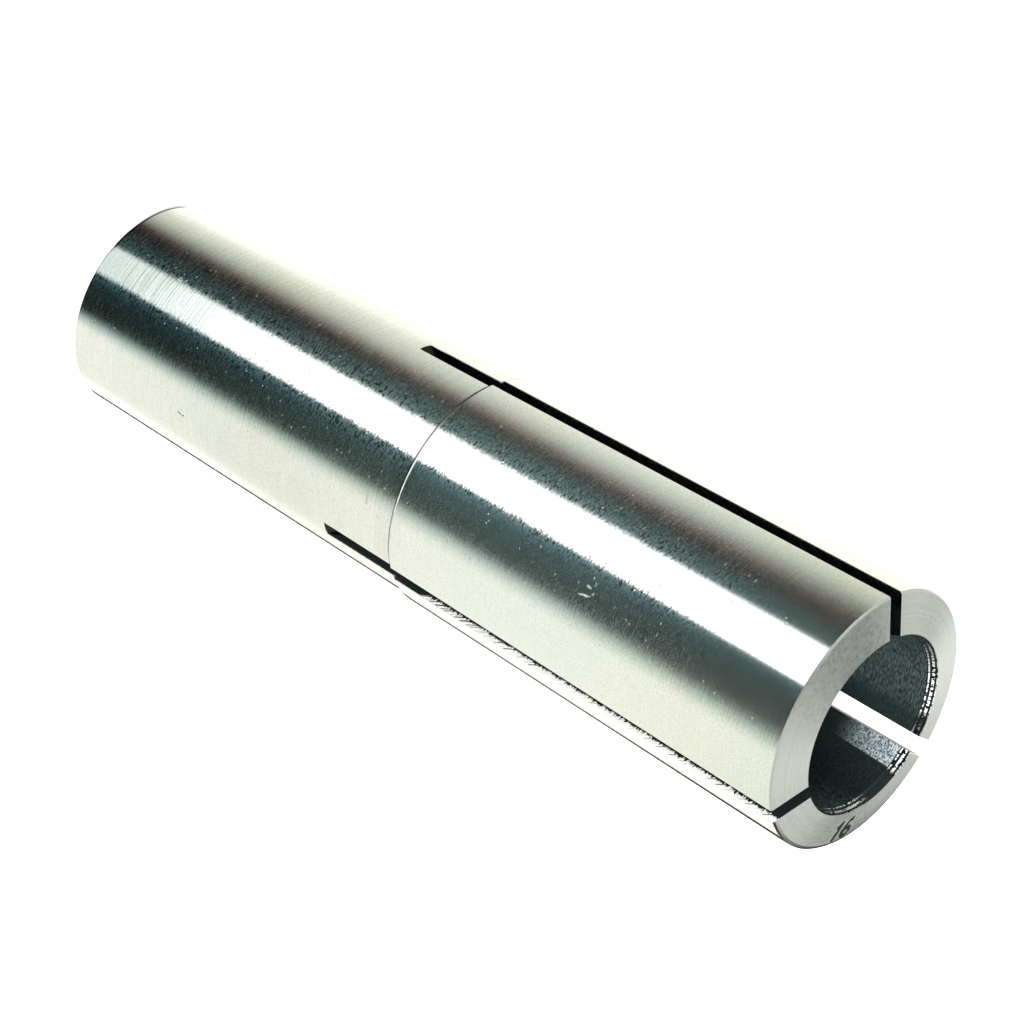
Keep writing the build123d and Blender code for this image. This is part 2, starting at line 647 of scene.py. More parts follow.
# %% The size on the mouth
MARK_START, MARK_FOOT, MARK_RADIUS = radians(24.8), 11.45, 10.4
SIZE_HALF_WIDTH, SIZE_DEPTH = 0.23, 0.10
FAR_AWAY = Vector((99, 99))
SIZE_STROKES = [
    [(0.20, 0.06), (0.48, 1.92), (0.12, 1.50)],
    [(2.00, 1.92), (1.62, 1.80), (1.30, 1.42), (1.12, 0.92), (1.09, 0.46), (1.26, 0.14), (1.56, 0.04),
     (1.86, 0.18), (2.02, 0.50), (1.96, 0.84), (1.70, 1.02), (1.40, 0.92), (1.14, 0.60)],
]


def flat_on_mouth(point):
    """Place of a point on the mouth, with the text's foot at zero."""
    if point.z < break_height:
        return FAR_AWAY
    return Vector(((atan2(point.y, point.x) - MARK_START) * MARK_RADIUS, MARK_FOOT - hypot(point.x, point.y)))


def settle_on_mouth(point):
    """Sets a point back on the cone of the mouth."""
    point.z = face_height(hypot(point.x, point.y))


def into_mouth(point):
    """Direction from the mouth into the steel."""
    return Vector((0, 0, -1))


engrave(SIZE_STROKES, SIZE_HALF_WIDTH, SIZE_DEPTH, flat_on_mouth, settle_on_mouth, into_mouth,
        TURNED, ENGRAVED)
print("engraved faces:", sum(face.material_index == ENGRAVED for face in steel.faces))

# %% Knocks on the outside
UNROLL_RADIUS = 11

# Each knock has its angle round the axis in degrees, its height, half its width, its depth and its stroke
KNOCKS = [
    (-82.3, 62.5, 0.12, 0.06, [(0.0, -0.12), (0.02, 0.12)]),
    (-84.5, 62.9, 0.12, 0.06, [(0.0, -0.08), (-0.02, 0.08)]),
    (-78.8, 62.4, 0.06, 0.022, [(0.34, -0.80), (0.08, -0.17), (0.04, 0.04), (0.05, 0.27), (-0.10, 0.54),
                                (-0.32, 0.76)]),
    (-47.2, 14.5, 0.10, 0.08, [(-0.05, -0.35), (0.05, 0.35)]),
    (-111.4, 8.7, 0.12, 0.09, [(0.0, -0.03), (0.0, 0.03)]),
    (-62.7, 37.6, 0.08, 0.07, [(-0.30, -0.05), (0.30, 0.05)]),
]


def settle_outside(point):
    """Sets a point back on the ground outside."""
    stretch = outside_radius(point.z) / hypot(point.x, point.y)
    point.x *= stretch
    point.y *= stretch


def into_outside(point):
    """Direction from the outside towards the axis."""
    return -Vector((point.x, point.y, 0)).normalized()


def unrolled_round(azimuth, middle_height):
    """The way to flatten the outside round one knock: unrolled, with the knock's middle at zero."""
    start = radians(azimuth)

    def flat_outside(point):
        """Place of a point on the unrolled outside."""
        return Vector(((atan2(point.y, point.x) - start) * UNROLL_RADIUS, point.z - middle_height))

    return flat_outside


for azimuth, middle_height, half_width, depth, stroke in KNOCKS:
    flat_outside = unrolled_round(azimuth, middle_height)
    engrave([stroke], half_width, depth, flat_outside, settle_outside, into_outside, GROUND, GROUND)
print("faces", len(steel.faces), "open edges", count_open_edges())

# %% [markdown]
# ## The finished mesh
#
# So far the collet is a mesh in memory, in millimetres. It becomes an object of the scene here. Rounding in
# the mesh could put a point a fraction of a micrometre outside the measured box, so the skin is made
# slimmer by about a quarter of a micrometre. Only edges that are sharp on the real collet are marked sharp:
# the rest is shaded smooth.

# %% Make the object
HAIR_INSIDE = 0.99998
SHARP_FROM = radians(18)
collet_mesh = bpy.data.meshes.new("collet")
steel.to_mesh(collet_mesh)
steel.free()
collet_mesh.transform(Matrix.Diagonal((MM * HAIR_INSIDE, MM * HAIR_INSIDE, MM, 1)))
collet = bpy.data.objects.new("collet", collet_mesh)
bpy.context.scene.collection.objects.link(collet)
collet_mesh.set_sharp_from_angle(angle=SHARP_FROM)
print("collet measures", [round(v, 5) for v in collet.dimensions])

# %% [markdown]
# ## Finishes as nodes
#
# Each finish of the steel is a small network of shader nodes. They could be joined in the Shader Editor,
# but in code a few helpers keep them readable. The first ones add a node, plug in what it is given and do
# sums, and others follow where they are first needed. Every pattern is laid out in the collet's own
# coordinates, so it stays in place from whichever side the collet is seen. Most are marks of the tools, and
# some are painted light and shade.

# %% Nodes and sums


def feed(tree, socket, value):
    """Gives a socket a value, or links it to an output."""
    if isinstance(value, bpy.types.NodeSocket):
        tree.links.new(value, socket)
    else:
        socket.default_value = value


def add_node(tree, kind, settings=None, **plugs):
    """Adds a shader node. Each plug goes into the socket of its name, with _ for a space."""
    node = tree.nodes.new("ShaderNode" + kind)
    for name, value in (settings or {}).items():
        setattr(node, name, value)
    for name, value in plugs.items():
        feed(tree, node.inputs[name.replace("_", " ")], value)
    return node


def sum_of(tree, operation, *values):
    """The result of a Math node, such as MAXIMUM or ARCTAN2, on values or outputs."""
    node = add_node(tree, "Math", {"operation": operation})
    for socket, value in zip(node.inputs, values):
        feed(tree, socket, value)
    return node.outputs[0]


def plus(tree, first, second):
    """Two values added."""
    return sum_of(tree, "ADD", first, second)


def less(tree, first, second):
    """The first value less the second."""
    return sum_of(tree, "SUBTRACT", first, second)


def times(tree, product, *factors):
    """Values multiplied."""
    for factor in factors:
        product = sum_of(tree, "MULTIPLY", product, factor)
    return product


print("helpers for sums:", [helper.__name__ for helper in (plus, less, times)])

# %% [markdown]
# ## Ground steel
#
# A grinding wheel leaves fine scratches round the collet. Light across them is mirrored almost sharply,
# light along the axis is smeared out, so the reflections become long straight stripes. Scratches cut into
# the mesh would take millions of faces. The shader's anisotropy does the same with two numbers: the tangent
# runs round the axis, and the highlight is turned a quarter to lie along it. Noise stretched round the axis
# then makes some scratches brighter than others. Behind the step they run in lines, in front they are a
# fine speckle.

# %% Start the ground finish


def steel_material(name, metallic=1.0):
    """A material with a metallic shader, its node tree, and the shader's sockets."""
    material = bpy.data.materials.new(name)
    material.use_nodes = True
    shader = material.node_tree.nodes["Principled BSDF"].inputs
    shader["Metallic"].default_value = metallic
    return material, material.node_tree, shader


def round_the_axis(tree, shader, anisotropy):
    """Turns a shader's highlight to lie across scratches that run round the axis."""
    tangent = add_node(tree, "Tangent", {"direction_type": "RADIAL", "axis": "Z"})
    feed(tree, shader["Tangent"], tangent.outputs["Tangent"])
    shader["Anisotropic"].default_value = anisotropy
    shader["Anisotropic Rotation"].default_value = 0.25


ground, tree, shader = steel_material("ground_outside")
round_the_axis(tree, shader, 1.0)
print("nodes at the start:", len(tree.nodes))

# %% Angle and height on the collet


def scaled(tree, value, share):
    """A place or a colour, made larger or smaller by a share."""
    return add_node(tree, "VectorMath", {"operation": "SCALE"}, Vector=value, Scale=share).outputs["Vector"]


def coordinates(tree):
    """The x, y and z of a point in the collet's own coordinates, in millimetres."""
    place = add_node(tree, "TexCoord").outputs["Object"]
    return add_node(tree, "SeparateXYZ", Vector=scaled(tree, place, 1 / MM)).outputs


def angle_round(tree):
    """Angle round the axis in degrees, from -180 to 180."""
    x, y, _ = coordinates(tree)
    return times(tree, sum_of(tree, "ARCTAN2", y, x), 180 / pi)


def height_up(tree):
    """Height above the small end."""
    return coordinates(tree)[2]


angle, height = angle_round(tree), height_up(tree)
in_front = sum_of(tree, "GREATER_THAN", height, step_height)
print("nodes with the angle and the height:", len(tree.nodes))

# %% Scratches of the wheel


def remap(tree, value, low, high, to_low, to_high, smooth=False):
    """Carries a value from one range to another, held at the ends."""
    kind = {"interpolation_type": "SMOOTHSTEP" if smooth else "LINEAR"}
    node = add_node(tree, "MapRange", kind, Value=value, From_Min=low, From_Max=high,
                    To_Min=to_low, To_Max=to_high)
    return node.outputs["Result"]


def mixed(tree, first, second, share):
    """Two values mixed, with a share of the second."""
    return add_node(tree, "Mix", {"data_type": "FLOAT"}, A=first, B=second, Factor=share).outputs["Result"]


def grain(tree, scale, detail=2.0, roughness=0.5, seed=0.0):
    """Noise in the collet's coordinates, with a scale for each direction, in features per metre."""
    place = add_node(tree, "TexCoord").outputs["Object"]
    stretched = add_node(tree, "Mapping", Vector=place, Scale=scale, Location=(seed, seed, seed))
    noise = add_node(tree, "TexNoise", Vector=stretched.outputs["Vector"], Scale=1.0, Detail=detail,
                     Roughness=roughness)
    return noise.outputs["Fac"]


dashes = grain(tree, (900, 900, 9000), detail=1.0, roughness=0.6)
streaks = grain(tree, (200, 200, 7000), detail=0.0, seed=3.7)
speckle = grain(tree, (6500, 6500, 8000), detail=1.0, seed=1.3)
rear_lines = plus(tree, times(tree, streaks, 0.6), times(tree, dashes, 0.4))
scratches = mixed(tree, rear_lines, speckle, plus(tree, times(tree, in_front, 0.35), 0.5))
bright = remap(tree, scratches, 0.40, 0.60, 0.0, 1.0)
print("nodes with the scratches:", len(tree.nodes))

# %% A band of painted shade behind the step
BAND_START, BAND_FULL = step_height - 1.9, step_height - 1.6
band_shade = remap(tree, height, BAND_START, BAND_FULL, 0.0, 1.0, smooth=True)
band_shade = sum_of(tree, "MAXIMUM", less(tree, band_shade, in_front), 0.0)
# Painted shade: the steel colour is darker in a band just behind the step
bright = less(tree, bright, times(tree, band_shade, 0.35))
print("nodes with the dull band:", len(tree.nodes))

# %% A few long lines near the small end


def ramp(tree, share, stops):
    """A colour ramp with stops of (position, colour), which holds the colours of its first and last stops."""
    node = add_node(tree, "ValToRGB", Fac=share)
    elements = node.color_ramp.elements
    while len(elements) < len(stops):
        elements.new(1.0)
    for element, (position, colour) in zip(elements, stops):
        element.position = position
        element.color = (*colour, 1)
    return node.outputs["Color"]


def grey_ramp(tree, share, stops):
    """A value instead of a colour, from stops of (position, value)."""
    return ramp(tree, share, [(position, (grey, grey, grey)) for position, grey in stops])


def round_collet(tree, angle, stops):
    """A value that changes with the angle round the axis, from stops of (degrees, value)."""
    turn = remap(tree, angle, -180, 180, 0.0, 1.0)
    return grey_ramp(tree, turn, [((degrees + 180) / 360, value) for degrees, value in stops])


long_lines = remap(tree, grain(tree, (230, 230, 10500), detail=1.0, seed=21.0), 0.49, 0.66, 0.0, 1.0)
from_end = remap(tree, height, 0.5, 5, 0.0, 2.9, smooth=True)
to_middle = remap(tree, height, 9, 20, 1.0, 0.0, smooth=True)
in_strip = round_collet(tree, angle, [(-116, 0.1), (-110, 1.0), (-93, 1.0), (-88, 0.1)])
bright = less(tree, bright, times(tree, long_lines, times(tree, from_end, to_middle), in_strip))
print("nodes with the long lines:", len(tree.nodes))

# %% [markdown]
# ## Flecks and nicks in the ground steel
#
# Beside the bright stripe the eye sees what the wheel tore: light and dark flecks, and short nicks that are
# almost black. The light flecks are painted glints, and the dark flecks and nicks are painted shade, laid at
# the edges of the stripe and in the dark bands beside it. They could be strewn as small pieces of mesh, but
# noise that is cut off at a threshold gives thousands of them for nothing. They are laid out by the angle
# round the collet, closer behind the step than in front of it, and they fade towards the mouth, which was
# ground last with a freshly dressed wheel.

# %% Flecks, painted as glints and specks of shade
GLINTS_BEHIND = [(-126, 0.1), (-116, 0.7), (-110, 0.1), (-96, 0.1), (-91, 0.8), (-84, 0.45), (-74, 0.1)]
GLINTS_IN_FRONT = [(-126, 0.1), (-116, 0.7), (-110, 0.1), (-96, 0.1), (-92, 0.55), (-88, 0.2), (-82, 0.1)]

new_wheel = remap(tree, height, 66, 80, 1.0, 0.15, smooth=True)
glint_flecks = remap(tree, grain(tree, (4200, 4200, 9000), detail=0.0, seed=15.0), 0.34, 0.66, -2.6, 2.6)
glints_behind = round_collet(tree, angle, GLINTS_BEHIND)
glints_in_front = round_collet(tree, angle, GLINTS_IN_FRONT)
painted_glints = mixed(tree, glints_behind, glints_in_front, in_front)
# Painted glints and shade: flecks lighten or darken the steel at the angles of the dark bands
bright = plus(tree, bright, times(tree, glint_flecks, times(tree, painted_glints, new_wheel)))
print("nodes with the flecks:", len(tree.nodes))

# %% Nicks, painted as shade at the edges of the stripe
NICK_SHADE_BEHIND = [(-180, 0.05), (-120, 0.08), (-115, 0.9), (-111, 1.0), (-108.5, 0.05), (-93.5, 0.05),
                (-91.5, 1.0), (-88, 0.9), (-83, 0.2), (-76, 0.05)]
NICK_SHADE_IN_FRONT = [(-180, 0.03), (-122, 0.05), (-116, 0.6), (-111, 0.95), (-108.5, 0.05), (-93.8, 0.05),
                  (-92.4, 1.0), (-90.6, 0.8), (-88, 0.15), (-80, 0.03)]

nicks = remap(tree, grain(tree, (2900, 2900, 7000), detail=0.0, seed=31.0), 0.58, 0.64, 0.0, 0.85)
nick_shade_behind = round_collet(tree, angle, NICK_SHADE_BEHIND)
nick_shade_in_front = round_collet(tree, angle, NICK_SHADE_IN_FRONT)
nick_shade = mixed(tree, nick_shade_behind, nick_shade_in_front, in_front)
# Painted shade: nicks darken the steel along the edges of the bright stripe
outside_nick_shade = less(tree, 1.0, times(tree, nicks, times(tree, nick_shade, new_wheel)))
print("nodes with the nicks:", len(tree.nodes))

# %% [markdown]
# ## Painted shade on the ground steel
#
# A line of painted shade runs along the edge of the small end, and one at the step. A thin dark mesh
# would flicker against the steel under it, so the shade is a darker colour of the steel itself, between two
# heights and two angles.

# %% Lines of painted shade
SHADE_DARKNESS = 0.93
foot_line = round_collet(tree, angle, [(-168, 0.0), (-160, 1.0), (-112, 1.0), (-104, 0.0)])
at_foot = remap(tree, height, SMALL_END_CHAMFER + 0.15, SMALL_END_CHAMFER + 0.23, 1.0, 0.0)
step_line = round_collet(tree, angle, [(-21, 0.0), (-14, 1.0), (12, 1.0), (16, 0.0)])
under_top = remap(tree, height, stoned_top + 0.20, stoned_top + 0.28, 1.0, 0.0)
over_bottom = remap(tree, height, step_height - 0.30, step_height - 0.22, 0.0, 1.0)
at_step = times(tree, under_top, over_bottom)
painted_shade = sum_of(tree, "MAXIMUM", times(tree, foot_line, at_foot), times(tree, step_line, at_step))
unshaded = less(tree, 1.0, times(tree, painted_shade, SHADE_DARKNESS))
print("nodes with the oil:", len(tree.nodes))

# %% Colour of the ground steel
CREAM_DARK, CREAM_LIGHT = (0.80, 0.81, 0.77), (0.91, 0.915, 0.88)
COOL_DARK, COOL_LIGHT = (0.77, 0.80, 0.785), (0.87, 0.895, 0.88)


def blend(tree, first, second, share, held=True):
    """Two colours mixed. If it isn't held, a share below 0 goes on darker and one above 1 lighter."""
    node = add_node(tree, "Mix", {"data_type": "RGBA", "clamp_factor": held}, Factor=share)
    for name, colour in (("A", first), ("B", second)):
        feed(tree, node.inputs[name], (*colour, 1) if isinstance(colour, tuple) else colour)
    return node.outputs["Result"]


broad = remap(tree, grain(tree, (70, 70, 70), detail=1.0, seed=2.0), 0.35, 0.65, 0.0, 1.0)
cream = blend(tree, CREAM_DARK, CREAM_LIGHT, bright, held=False)
cool = blend(tree, COOL_DARK, COOL_LIGHT, bright, held=False)
shown = times(tree, unshaded, outside_nick_shade)
feed(tree, shader["Base Color"], scaled(tree, blend(tree, cream, cool, broad), shown))
print("nodes with the colour:", len(tree.nodes))

# %% [markdown]
# ## Roughness and relief of the ground steel
#
# Steel looks smoother the more flatly it is seen, so the roughness falls off towards the outline. The edges
# of the stripes are frayed like a comb, because each scratch mirrors a slightly different place. A bump map
# would tilt the normal up and down as well and break the long stripes. So the normal is swung round the
# axis alone, one way or the other, by noise as fine as the scratches. Pits come on top as an ordinary bump.

# %% Roughness
grazing = add_node(tree, "LayerWeight", Blend=0.5).outputs["Facing"]
calm = remap(tree, grazing, 0.55, 0.85, 1.0, 0.3)
salt = remap(tree, mixed(tree, dashes, speckle, 0.5), 0.32, 0.68, 0.12, 0.26)
feed(tree, shader["Roughness"], times(tree, mixed(tree, 0.19, salt, new_wheel), calm))
print("nodes with the roughness:", len(tree.nodes))

# %% The comb
COMB = 0.013
COMB_ROUND = [(-124, 0.25), (-116, 1.0), (-84, 1.0), (-76, 0.25)]
COMB_UP = [(0.0, 0.5), (0.12, 0.8), (0.3, 1.0), (0.46, 1.0), (0.54, 0.7), (0.7, 0.62), (0.85, 0.25),
           (1.0, 0.05)]


def vector_of(tree, operation, first, second):
    """The result of a Vector Math node on two vectors."""
    node = add_node(tree, "VectorMath", {"operation": operation})
    feed(tree, node.inputs[0], first)
    feed(tree, node.inputs[1], second)
    return node.outputs["Value" if operation == "DOT_PRODUCT" else "Vector"]


def swung_normal(tree, swing):
    """The surface's normal, swung a little round the axis, one way or the other."""
    normal = add_node(tree, "NewGeometry").outputs["Normal"]
    sideways = vector_of(tree, "CROSS_PRODUCT", (0, 0, 1), normal)
    moved = vector_of(tree, "ADD", normal, scaled(tree, sideways, swing))
    return add_node(tree, "VectorMath", {"operation": "NORMALIZE"}, Vector=moved).outputs["Vector"]


way_up = remap(tree, height, 0.0, rim_height, 0.0, 1.0)
combed = times(tree, grey_ramp(tree, way_up, COMB_UP), round_collet(tree, angle, COMB_ROUND))
tooth = remap(tree, grain(tree, (2300, 2300, 9500), detail=0.0, seed=1.7), 0.28, 0.72, -1.0, 1.0)
swung = swung_normal(tree, times(tree, tooth, times(tree, combed, times(tree, calm, COMB))))
print("nodes with the comb:", len(tree.nodes))

# %% Pits


def pits(tree, cells_per_metre, share, radius, seed):
    """Small scattered pits: 1 in a pit, 0 outside. Only a share of the cells has one."""
    place = add_node(tree, "TexCoord").outputs["Object"]
    across, along = cells_per_metre
    cell = add_node(tree, "Mapping", Vector=place, Location=(seed, seed, seed), Scale=(across, across, along))
    cells = add_node(tree, "TexVoronoi", {"feature": "F1"}, Vector=cell.outputs["Vector"], Scale=1.0)
    near = remap(tree, cells.outputs["Distance"], radius * 0.4, radius, 1.0, 0.0, smooth=True)
    return times(tree, near, sum_of(tree, "GREATER_THAN", cells.outputs["Color"], 1 - share))


def give_finish(material):
    """Gives the collet its next finish, in the order in which the finishes were numbered."""
    collet_mesh.materials.append(material)
    nodes = len(material.node_tree.nodes)
    print("finish", len(collet_mesh.materials) - 1, "is", material.name, "with", nodes, "nodes")


hollow = pits(tree, (900, 1900), 0.38, 0.15, 0.0)
relief = less(tree, times(tree, streaks, 0.4), hollow)
bump = add_node(tree, "Bump", Height=relief, Strength=0.6, Distance=0.03 * MM, Normal=swung)
feed(tree, shader["Normal"], bump.outputs["Normal"])
give_finish(ground)

# %% [markdown]
# ## Turned faces
#
# The mouth and the small end were faced with a lathe tool, which left fine rings round the axis. A picture
# of rings would have to be mapped on both faces. Noise that depends on the radius alone draws them on any
# face that is square to the axis. The face is darker beside the engraved number, as a painted reflection,
# and darker along part of the rim, as painted shade.

# %% Rings and painted reflection of the turned faces


def radius_from_axis(tree):
    """Distance from the axis."""
    x, y, _ = coordinates(tree)
    return sum_of(tree, "SQRT", plus(tree, times(tree, x, x), times(tree, y, y)))


def line_grain(tree, way, scale, detail):
    """Noise that changes along one way only, given in millimetres."""
    noise = add_node(tree, "TexNoise", {"noise_dimensions": "1D"}, W=way, Scale=scale, Detail=detail)
    return noise.outputs["Fac"]


turned, tree, shader = steel_material("turned_face")
round_the_axis(tree, shader, 0.6)
angle, radius = angle_round(tree), radius_from_axis(tree)
rings = line_grain(tree, radius, 5.2, 2.0)
mottle = grain(tree, (2600, 2600, 2600), detail=3.0, seed=2.0)
shade = plus(tree, times(tree, rings, 0.5), times(tree, mottle, 0.5))
specks = pits(tree, (420, 420), 0.04, 0.07, 5.0)
light = less(tree, remap(tree, shade, 0.38, 0.62, 0.0, 1.0), times(tree, specks, 3.0))
# Painted reflection: the face is darker on the side beside the engraved number
painted_face_reflection = round_collet(tree, angle, [(22, 0.0), (34, 2.6), (58, 2.0), (78, 0.4), (88, 0.0)])
light = less(tree, light, times(tree, painted_face_reflection, remap(tree, radius, 9.6, 11.6, 0.0, 1.0, smooth=True)))
print("nodes for the rings and the wear:", len(tree.nodes))

# %% Painted shade and colour of the turned faces
TURNED_DARK, TURNED_LIGHT = (0.745, 0.775, 0.725), (0.865, 0.89, 0.83)


def raise_marks(tree, shader, marks, strength, depth):
    """Makes marks stand out of the surface, by a depth in millimetres."""
    bump = add_node(tree, "Bump", Height=marks, Strength=strength, Distance=depth * MM)
    feed(tree, shader["Normal"], bump.outputs["Normal"])


# Painted shade: darker along part of the rim
rim_shade = round_collet(tree, angle, [(-30, 0.0), (-10, 0.7), (12, 1.0), (56, 1.0), (72, 0.5), (80, 0.0)])
at_rim = remap(tree, radius, broken_rim_radius - 0.27, broken_rim_radius - 0.15, 0.0, 0.92)
unshaded = less(tree, 1.0, times(tree, rim_shade, at_rim))
colour = blend(tree, TURNED_DARK, TURNED_LIGHT, light, held=False)
feed(tree, shader["Base Color"], scaled(tree, colour, unshaded))
feed(tree, shader["Roughness"], remap(tree, mottle, 0.3, 0.7, 0.26, 0.34))
raise_marks(tree, shader, rings, 0.4, 0.02)
give_finish(turned)

# %% [markdown]
# ## The bore
# The bore was reamed and is dark with oil, mottled where the oil has thinned. Beside one slot a shank that
# went in askew has rubbed it bright near the mouth. The patch could be a second material, but then it would
# end in a hard line. Mixed in by angle and height, it can fade down the bore and break up into blots at its
# edge. Its colour grows brighter towards the mouth: that is painted light falling in at the opening.

# %% The oiled bore
bored, tree, shader = steel_material("oiled_bore")
round_the_axis(tree, shader, 0.6)
angle, height = angle_round(tree), height_up(tree)
marks = grain(tree, (2400, 2400, 9500), detail=1.0, roughness=0.6, seed=4.0)
thinned = round_collet(tree, angle, [(-30, 0.2), (-4, 0.35), (12, 0.85), (26, 0.6), (42, 0.12), (88, 0.1),
                                     (105, 0.12), (112, 0.5), (135, 0.7), (156, 0.4), (172, 0.2)])
showing = times(tree, remap(tree, marks, 0.36, 0.70, 0.0, 1.0), thinned)
oily = blend(tree, (0.05, 0.078, 0.076), (0.40, 0.56, 0.54), showing)
print("nodes for the oil in the bore:", len(tree.nodes))

# %% The rubbed patch, with painted light near the mouth
SLOT_BESIDE_PATCH = 90.0
patch_edge = remap(tree, height, 78.0, grip_top_height, 71.0, 69.5)
beside = remap(tree, less(tree, angle, patch_edge), 0.0, 1.0, 0.0, 1.0, smooth=True)
beside = times(tree, beside, sum_of(tree, "LESS_THAN", angle, SLOT_BESIDE_PATCH))
rubbed = times(tree, beside, remap(tree, height, 78.4, 81.2, 0.0, 1.0, smooth=True))
blots = remap(tree, grain(tree, (4600, 4600, 8200), detail=1.0, seed=8.0), 0.36, 0.60, 0.22, 1.0)
bare = times(tree, rubbed, blots)
# Painted light: the patch's colour grows brighter towards the mouth
bright = blend(tree, (0.16, 0.21, 0.22), (0.66, 0.76, 0.79), remap(tree, height, 79.5, 84.6, 0.0, 1.0))
feed(tree, shader["Base Color"], blend(tree, oily, bright, bare))
feed(tree, shader["Metallic"], remap(tree, bare, 0.0, 1.0, 0.8, 0.15))
feed(tree, shader["Roughness"], remap(tree, marks, 0.3, 0.7, 0.26, 0.42))
raise_marks(tree, shader, marks, 0.5, 0.03)
give_finish(bored)

# %% [markdown]
# ## The sawn walls
#
# Every tooth of the saw drew an arc down the wall of the slot. On one wall the teeth tore the steel pale and
# matt, but it keeps that colour only in a ragged strip near the outside: deeper in and towards the slot's
# end the wall is painted near black, as painted shade where the slot keeps the light off. Straight stripes
# would be simpler, but they would not bend with the saw. So the noise is laid along arcs of the saw's own
# radius, which needs only the distance from the axis and the height. The lit strip reaches a ragged depth
# into the wall.

# %% Marks of the saw's teeth


def tooth_marks(tree, radius, height):
    """Height of the saw's centre as its teeth passed a point, and noise that is even along their arc."""
    from_centre = less(tree, saw_centre_radius, radius)
    drop = sum_of(tree, "SQRT", less(tree, SAW_RADIUS**2, times(tree, from_centre, from_centre)))
    arc = plus(tree, height, drop)
    return arc, line_grain(tree, arc, 2.6, 3.0)


def depth_in_wall(tree, radius, height):
    """How deep under the ground taper a point of a wall lies."""
    taper = plus(tree, times(tree, height, TAPER_PER_MM / 2), taper_radius(0))
    return less(tree, taper, radius)


sawn, tree, shader = steel_material("sawn_walls", metallic=0.1)
radius, height = radius_from_axis(tree), height_up(tree)
arc, marks = tooth_marks(tree, radius, height)
print("nodes for the tooth marks:", len(tree.nodes))

# %% The lit strip and the painted shade
LIT_AND_TORN_FROM = 59.4
SCRAPED_LENGTH = 16
ragged = plus(tree, arc, grain(tree, (900, 900, 900), seed=2.0))
fading = remap(tree, ragged, LIT_AND_TORN_FROM, LIT_AND_TORN_FROM + SCRAPED_LENGTH, 0.10, -0.06)
torn = remap(tree, less(tree, marks, fading), 0.33, 0.42, 0.0, 1.0)
lit_above = remap(tree, ragged, LIT_AND_TORN_FROM + 0.3, LIT_AND_TORN_FROM + 0.7, 0.0, 1.0)
nibbled = grain(tree, (700, 700, 8000), detail=2.0, roughness=0.7, seed=9.0)
lit_depth = remap(tree, nibbled, 0.30, 0.70, 0.26, 0.72)
lit_near_outside = remap(tree, less(tree, depth_in_wall(tree, radius, height), lit_depth), -0.02, 0.02, 1.0, 0.0)
lit_and_torn = times(tree, torn, lit_above, lit_near_outside)
# Painted shade: outside the lit strip the wall is near black
feed(tree, shader["Base Color"], blend(tree, (0.012, 0.018, 0.017), (0.97, 0.97, 0.94), lit_and_torn))
feed(tree, shader["Roughness"], remap(tree, marks, 0.3, 0.7, 0.45, 0.6))
raise_marks(tree, shader, marks, 0.5, 0.06)
give_finish(sawn)

# %% [markdown]
# ## The walls in painted shade
#
# The other wall and the floor of a slot are painted dark, as painted shade in the narrow slot. They have
# the same tooth marks, so the same helpers draw them. A plain black would do from afar, but painted light
# lifts the wall near the mouth, deep in towards the bore, and the painted shade is darkest where the slot
# ends, so the darkness changes with the place.

# %% Painted light near the mouth, and painted shade at the slot's end
painted_shade, tree, shader = steel_material("oiled_walls")
radius, height = radius_from_axis(tree), height_up(tree)
arc, marks = tooth_marks(tree, radius, height)
# Painted light: lighter near the mouth, deep in towards the bore
near_mouth = remap(tree, arc, 92, 99, 0.0, 1.0, smooth=True)
deep_in = remap(tree, depth_in_wall(tree, radius, height), 1.0, 2.0, 0.0, 3.0, smooth=True)
light = plus(tree, remap(tree, marks, 0.35, 0.65, 0.3, 0.8), times(tree, near_mouth, deep_in))
# Painted shade: darker towards the slot's end
out_of_end_shade = remap(tree, height, slot_end_height + 1.5, slot_end_height + 4.5, 0.3, 1.0)
colour = blend(tree, (0.022, 0.032, 0.03), (0.09, 0.11, 0.105), light, held=False)
feed(tree, shader["Base Color"], scaled(tree, colour, out_of_end_shade))
feed(tree, shader["Roughness"], remap(tree, marks, 0.3, 0.7, 0.3, 0.45))
raise_marks(tree, shader, marks, 0.4, 0.04)
give_finish(painted_shade)

# %% [markdown]
# ## The tapped thread
#
# A tap cuts the thread and tears it a little along its turns. The shape of the thread is in the mesh
# already, so the finish only needs a dull steel with streaks. Noise that is finer up the hole than round it
# draws them.

# %% Streaks of the tap
tapped, tree, shader = steel_material("tapped_thread")
marks = grain(tree, (500, 500, 2500), detail=3.0, seed=1.0)
feed(tree, shader["Base Color"], blend(tree, (0.36, 0.38, 0.37), (0.62, 0.63, 0.60), marks))
feed(tree, shader["Roughness"], remap(tree, marks, 0.3, 0.7, 0.28, 0.4))
give_finish(tapped)

# %% [markdown]
# ## The broken edges
#
# The rim and the edge of the small end were broken with a file. Part of their length is painted dark, as
# painted shade, and that is what draws a dark line along the outline of the collet. Two materials could share
# each edge, but the shade fades out slowly, so one material follows it by the angle, with one set of angles
# for the rim and one for the foot.

# %% Painted shade on the broken edges
edges, tree, shader = steel_material("broken_edges")
angle, height = angle_round(tree), height_up(tree)
wear = grain(tree, (1800, 1800, 1800), detail=2.0, seed=6.0)
